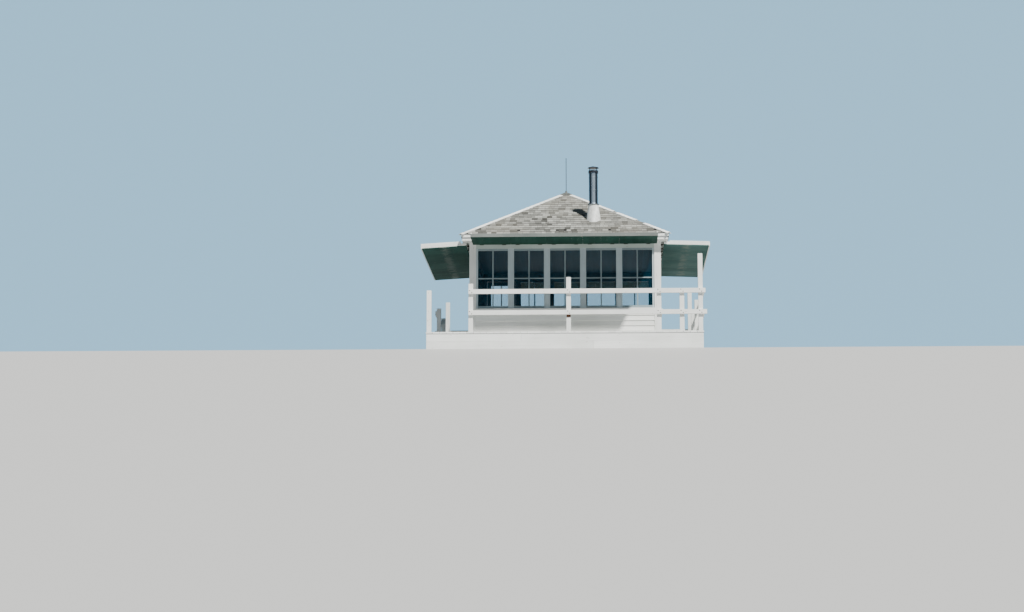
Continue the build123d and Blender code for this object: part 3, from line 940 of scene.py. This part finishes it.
def finish_row(name, bm, side, materials, replaced=()):
    """Hangs a mesh that was built level, as a piece of its side's row."""
    hang(bm, side)
    finish_piece(f"{side}_shutter_{name}", bm, materials, replaced, f"{side}_shutter_row")


print("droop in degrees:", droops)

# %% shutter rows
end_batten = 0.030
end_batten_start = 0.150
end_batten_setback = 0.006
end_batten_rise = {"front": 0.020, "right": 0.030, "rear": 0.020, "left": 0.045}


def row_boards(side, spans):
    """The boards of one row, green below and white above."""
    bm = new_mesh()
    for start, end in spans:
        shutter_boards(bm, start, end)
    soften(bm)
    for face in bm.faces:
        # The boards' sides take the green too; at the gaps it is painted shade.
        face.material_index = 1 if face.normal.z > 0.5 else 0
    finish_row("boards", bm, side, [green_timber[side], white_timber[out_axis[side]]],
               [f"{side}_shutters"])


def row_ledges(side, spans):
    """The ledges and cleats of one row, with a batten on top at each end."""
    bm = new_mesh()
    for start, end in spans:
        shutter_ledges(bm, start, end)
    for x in window_centres[side]:
        strap_cleats(bm, x)
    for x in (spans[0][0], spans[-1][1] - end_batten):
        add_board(bm, (x, -shutter_reach + end_batten_setback, shutter_top),
                  (x + end_batten, -end_batten_start, shutter_top + end_batten_rise[side]))
    soften(bm)
    # Faces towards the gaps take the green as painted shade.
    paint_gap_shade(bm, spans)
    finish_row("ledges", bm, side, [white_timber[wall_axis[side]], green_timber[side]])


def row_edge(side, spans):
    """The long board that ties one row at its outer edge."""
    bm = new_mesh()
    add_board(bm, (spans[0][0], -shutter_reach, -shutter_top), (spans[-1][1], shutter_outer, shutter_top))
    soften(bm)
    paint = worn_white if side == "front" else white_timber[wall_axis[side]]
    finish_row("edge", bm, side, [paint])


for side in side_turn:
    spans = shutter_spans(side)
    row_boards(side, spans)
    row_ledges(side, spans)
    row_edge(side, spans)

# %% [markdown]
# Each shutter hangs on two strap hinges. The strap lies on top, is let down over the inner edge and ends
# in an eye round the pin, and the fixed half with its lugs is the CAD's own node. A bolt's head is a short
# cone whose top is smaller than its foot, which is enough at this size.

# %% shutter straps
strap_length = 0.320
strap_half_width = 0.018
strap_thickness = 0.004
strap_bend = 0.005
tongue_half = 0.008
pin_radius = 0.006
eye_radius = 0.013
eye_half_length = 0.033
bolt_height = 0.004
strap_bolt_radius = 0.008


def add_bolt(bm, place, radius, taper, segments):
    """A bolt's head round a place, whose Z points out of the wood."""
    bmesh.ops.create_cone(bm, cap_ends=True, segments=segments, radius1=radius, radius2=radius * taper,
                          depth=bolt_height, matrix=place)


def strap(bm, x):
    """The moving half of one hinge, round the hinge line."""
    left, right = x - strap_half_width, x + strap_half_width
    top = shutter_top + strap_thickness
    add_board(bm, (left, shutter_inner - strap_length, shutter_top), (right, shutter_inner, top))
    add_board(bm, (left, shutter_inner, -tongue_half), (right, shutter_inner + strap_bend, top))
    add_board(bm, (x - eye_half_length, shutter_inner, -tongue_half),
              (x + eye_half_length, -pin_radius, tongue_half))
    sideways = Matrix.Translation((x, 0, 0)) @ Matrix.Rotation(math.pi / 2, 4, "Y")
    bmesh.ops.create_cone(bm, cap_ends=True, segments=20, radius1=eye_radius, radius2=eye_radius,
                          depth=2 * eye_half_length, matrix=sideways)
    for share in (0.15, 0.5, 0.85):
        place = Matrix.Translation((x, shutter_inner - strap_length * share, top + bolt_height / 2))
        add_bolt(bm, place, strap_bolt_radius, 0.6, 10)


for side in side_turn:
    straps = new_mesh()
    for x in window_centres[side]:
        for offset in (-hinge_spread / 2, hinge_spread / 2):
            strap(straps, x + offset)
    finish_row("straps", straps, side, [dark_iron])

# %% [markdown]
# The rails are held to each post by two bolts, set askew so that they don't split the same grain. One rusty
# angle sits under the mid rail at the front's middle post.

# %% rail bolts
rail_thickness = 0.038
post_half = 0.049
post_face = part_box("railing_posts")[1].x
rail_face = post_face + rail_thickness
post_line = post_face - post_half
post_places = {
    "front": (-2.050, 0.090, 2.060, 2.560, post_line),
    "right": (-post_line, -0.988, 0.988, post_line),
    "rear": (-post_line, -1.482, 0.0, 1.482, post_line),
    "left": (-post_line, -1.482, 0.0),
}
rail_middles = [sum(corner.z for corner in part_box(node)) / 2 for node in ("top_rails", "mid_rails")]
bolt_offset = 0.024
rail_bolt_radius = 0.011


def rail_bolts(bm, side):
    """The bolts of one side's rails."""
    for x in post_places[side]:
        for z in rail_middles:
            for offset in (-bolt_offset, bolt_offset):
                out = Matrix.Translation((x + offset, -rail_face - bolt_height / 2, z - offset))
                add_bolt(bm, out @ Matrix.Rotation(math.pi / 2, 4, "X"), rail_bolt_radius, 0.55, 12)


finish_piece("rail_bolts", all_round(rail_bolts), [dark_iron])

# %% rail bracket
rail_depth = 0.100
bracket_half = 0.045
bracket_height = 0.055
bracket_thickness = 0.005
bracket_top = rail_middles[1] - rail_depth / 2
bracket_x = post_places["front"][1]
bracket = new_mesh()
add_board(bracket, (bracket_x - bracket_half, -post_face - bracket_thickness, bracket_top - bracket_height),
          (bracket_x + bracket_half, -post_face, bracket_top))
add_board(bracket, (bracket_x - bracket_half, -rail_face, bracket_top - bracket_thickness),
          (bracket_x + bracket_half, -post_face - bracket_thickness / 2, bracket_top))
soften(bracket, metal_edge)
finish_piece("rail_bracket", bracket, [rusty_iron])

# %% [markdown]
# The door is glazed above and panelled below. Thin mouldings frame the panel on both faces, and two bars
# divide the light, in the same way as the windows'.

# %% door mouldings and bars
door_x = bay_centres[door_bay]
door_leaf_half = 0.343
door_leaf_thickness = 0.042
door_stile = 0.095
panel_low, panel_high = floor_top + 0.115, floor_top + 0.620
light_low, light_high = floor_top + 0.720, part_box("door")[1].z - door_stile
panel_half = door_leaf_half - door_stile
moulding_width = 0.022
moulding_rise = 0.008
door_back = sash_face + door_leaf_thickness


def moulding_frame(bm, half, low_z, high_z, near, far):
    """Four strips round an opening or a panel of the door."""
    left, right = door_x - half, door_x + half
    for z in (low_z, high_z - moulding_width):
        add_board(bm, (left, near, z), (right, far, z + moulding_width))
    for x in (left, right - moulding_width):
        add_board(bm, (x, near, low_z + moulding_width), (x + moulding_width, far, high_z - moulding_width))


door_trim = new_mesh()
for near, far in ((sash_face - moulding_rise, sash_face), (door_back, door_back + moulding_rise)):
    moulding_frame(door_trim, panel_half, panel_low, panel_high, near, far)
    moulding_frame(door_trim, panel_half + moulding_width, light_low - moulding_width,
                   light_high + moulding_width, near, far)
glazing_bars(door_trim, door_x, panel_half, light_low, light_high, door_leaf_thickness)
soften(door_trim)
turn_to(door_trim, "rear")
finish_piece("door_mouldings", door_trim, [white_timber["Z"]])

# %% [markdown]
# The flue is lengths of sheet pipe, each with a bead where it slips into the next, and a collar that sheds
# rain over the white flashing. Each is a small outline spun round the pipe's middle. A folded seam runs
# down the back.

# %% flue beads, collar and seam
pipe_seat = flue_radius - 0.001
bead_out = flue_radius + 0.004
bead_half = 0.010
bead_crown = bead_half * 0.4
bead_spacing = 0.30
collar_out = flue_radius + 0.030
collar_lip = flue_radius + 0.003
flashing_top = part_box("flue_flashing")[1].z
collar_top = flashing_top + 0.008
seam_half_width = 0.006


def spun_ring(bm, outline):
    """A ring whose outline is given as distances from the pipe's middle and heights."""
    verts = [bm.verts.new((flue_x + out, flue_y, height)) for out, height in outline]
    edges = [bm.edges.new(pair) for pair in zip(verts, verts[1:] + verts[:1])]
    bmesh.ops.spin(bm, geom=verts + edges, cent=(flue_x, flue_y, 0.0), axis=(0, 0, 1), angle=2 * math.pi,
                   steps=48, use_merge=True)


rings = new_mesh()
for place in (collar_top + bead_spacing, collar_top + bead_spacing * 2):
    spun_ring(rings, [(pipe_seat, place - bead_half), (bead_out, place - bead_crown),
                      (bead_out, place + bead_crown), (pipe_seat, place + bead_half)])
spun_ring(rings, [(pipe_seat, collar_top - 0.006), (collar_out, collar_top - 0.033),
                  (collar_out, collar_top - 0.029), (collar_lip, collar_top)])
bmesh.ops.recalc_face_normals(rings, faces=rings.faces)
add_board(rings, (flue_x - seam_half_width, flue_y + pipe_seat, flashing_top),
          (flue_x + seam_half_width, flue_y + collar_lip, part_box("flue_cowl")[0].z))
finish_piece("flue_beads", rings, [flue_metal])

# %% [markdown]
# The camera stands far below, so a flat floor would hide the base. The floor is instead level as far as the
# front of the house, and falls away from there more steeply than the camera looks up. A pale blue backdrop
# far behind gives the panes something bright to show.

# %% stage
brow = -deck_half - 0.03
fall_end = brow - 26.0
fall_depth = -9.2
floor_half = 320.0
backdrop_y = 260.0
backdrop_half = 900.0
backdrop_height = 200.0


def stage_strip(name, half, profile, colour):
    """A wide strip that follows a line of places along Y and heights."""
    bm = bmesh.new()
    corners = [bm.verts.new((x, *profile[0])) for x in (-half, half)]
    edges = [bm.edges.new(corners)]
    for y, height in profile[1:]:
        strip = bmesh.ops.extrude_edge_only(bm, edges=edges)["geom"]
        edges = [item for item in strip if isinstance(item, bmesh.types.BMEdge)]
        for vert in (item for item in strip if isinstance(item, bmesh.types.BMVert)):
            vert.co.y = y
            vert.co.z = height
    material = shade(start_material(name)[0], {"Roughness": 0.9, "Base Color": (*colour, 1.0)})
    place_mesh(name, bm, [material])


floor_line = [(floor_half, 0.0), (brow, 0.0), (fall_end, fall_depth), (-floor_half, fall_depth)]
backdrop_line = [(backdrop_y, backdrop_height), (backdrop_y, 0.0)]
stage_strip("pale_floor", floor_half, floor_line, (0.34, 0.34, 0.335))
stage_strip("pale_backdrop", backdrop_half, backdrop_line, (0.20, 0.39, 0.55))

# %% [markdown]
# One broad lamp stands high at the front right, where the photo's light comes from, and its wide angle
# softens the shadows' edges. The world's even light fills the shade with a cooler tone.

# %% light
sun_azimuth = math.radians(37.0)
sun_height = math.radians(54.5)
sun_data = bpy.data.lights.new("key", "SUN")
sun_data.energy = 10.0
sun_data.angle = math.radians(3.5)
sun_data.color = (1.0, 0.975, 0.93)
sun = bpy.data.objects.new("key", sun_data)
bpy.context.scene.collection.objects.link(sun)
sun.rotation_euler = (math.pi / 2 - sun_height, 0.0, sun_azimuth)

world = bpy.data.worlds.new("studio")
world.use_nodes = True
bpy.context.scene.world = world
fill = world.node_tree.nodes["Background"]
fill.inputs["Color"].default_value = (0.48, 0.74, 1.0, 1.0)
fill.inputs["Strength"].default_value = 0.24
print("the lamp is turned by", [round(math.degrees(turn), 1) for turn in sun.rotation_euler])

# %% [markdown]
# The camera repeats the photo's view, which was worked out from the house's own parallel lines: far off
# with a long lens, a little to the right, and looking up.

# %% camera
camera_left = math.radians(2.33)
camera_up = math.radians(9.15)
camera_data = bpy.data.cameras.new("camera")
camera_data.sensor_width = 36.0
camera_data.lens = 78.4
camera_data.clip_end = 1000.0
camera = bpy.data.objects.new("camera", camera_data)
bpy.context.scene.collection.objects.link(camera)
camera.location = (0.809, -51.057, -6.798)
camera.rotation_euler = (math.pi / 2 + camera_up, 0.0, camera_left)
bpy.context.scene.camera = camera
print("the camera is", round(camera.location.length, 1), "from the foot of the house")

# %% size of the CAD model
print("CAD box", [round(value, 3) for value in (*cad_low, *cad_high)])
